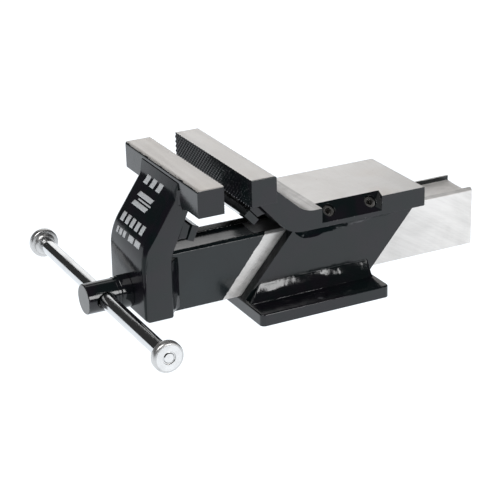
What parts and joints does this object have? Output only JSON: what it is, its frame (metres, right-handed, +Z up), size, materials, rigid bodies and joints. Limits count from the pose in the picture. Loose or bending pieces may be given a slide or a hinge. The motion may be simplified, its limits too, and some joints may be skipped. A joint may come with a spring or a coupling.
{
  "type": "bench vise",
  "caption": "All-steel bench vise: screw-driven channel slide, front jaw, rear jaw on a swan neck with anvil flat, pipe jaws, sliding handle bar and flanged base.",
  "frame": {"origin": "centre of the base plate's underside, midway between the two bolt holes", "axes": "+X across the jaws, +Y from the handle to the rear along the slide, +Z up"},
  "size_m": [0.19, 0.2563, 0.0934],
  "materials": {
    "black_paint": "gloss black enamel over welded plate",
    "ground_steel": "surface-ground, oiled",
    "jaw_steel": "black enamel, top ground bright",
    "weld_bead": "enamelled weld bead",
    "spindle_steel": "blackened steel, faced front",
    "chrome": "polished chrome plate",
    "nut_iron": "machined grey iron",
    "zinc_screw": "zinc plate",
    "gib_steel": "black oxide, oiled",
    "brass": "turned brass"
  },
  "bodies": {
    "frame": {"base_plate": "black_paint", "side_plate_left": "black_paint", "side_plate_right": "black_paint", "top_plate": "black_paint", "rear_jaw": "jaw_steel", "rear_pipe_jaw": "black_paint", "rear_pipe_weld": "weld_bead", "rear_jaw_weld": "weld_bead", "base_welds": "weld_bead", "top_welds": "weld_bead", "gib_pads": "brass", "spindle_nut": "nut_iron", "nut_screws": "zinc_screw"},
    "carriage": {"slide_channel": "ground_steel", "front_arm": "black_paint", "front_jaw": "jaw_steel", "front_pipe_jaw": "black_paint", "front_pipe_weld": "weld_bead", "spindle_bush": "black_paint", "slide_welds": "weld_bead", "front_jaw_welds": "weld_bead"},
    "spindle": {"spindle_screw": "spindle_steel", "thrust_washer": "zinc_screw", "retaining_collar": "gib_steel", "collar_pin": "zinc_screw"},
    "handle": {"handle_bar": "chrome", "handle_cap_left": "chrome", "handle_cap_right": "chrome"},
    "gib_front": {"gib_screw_front": "gib_steel"},
    "gib_rear": {"gib_screw_rear": "gib_steel"}
  },
  "joints": [
    {"name": "jaw_travel", "type": "slide", "parent": "frame", "child": "carriage", "axis": [0, -1, 0], "range_m": [-0.016, 0.076]},
    {"name": "spindle_turn", "type": "hinge", "parent": "carriage", "child": "spindle", "pos_m": [0, -0.1239, 0.0213], "axis": [0, -1, 0], "range_deg": [-1438, 6838]},
    {"name": "bar_slide", "type": "slide", "parent": "spindle", "child": "handle", "axis": [1, 0, 0], "range_m": [-0.0768, 0.0796]},
    {"name": "gib_front_turn", "type": "hinge", "parent": "frame", "child": "gib_front", "pos_m": [0.02495, 0.0126, 0.05535], "axis": [0.7071, 0, 0.7071], "range_deg": [-90, 90]},
    {"name": "gib_rear_turn", "type": "hinge", "parent": "frame", "child": "gib_rear", "pos_m": [0.02495, 0.041, 0.05535], "axis": [0.7071, 0, 0.7071], "range_deg": [-90, 90]}
  ],
  "couplings": [
    {"joint": "jaw_travel", "follows": "spindle_turn", "m_per_rad": 0.00063662}
  ]
}
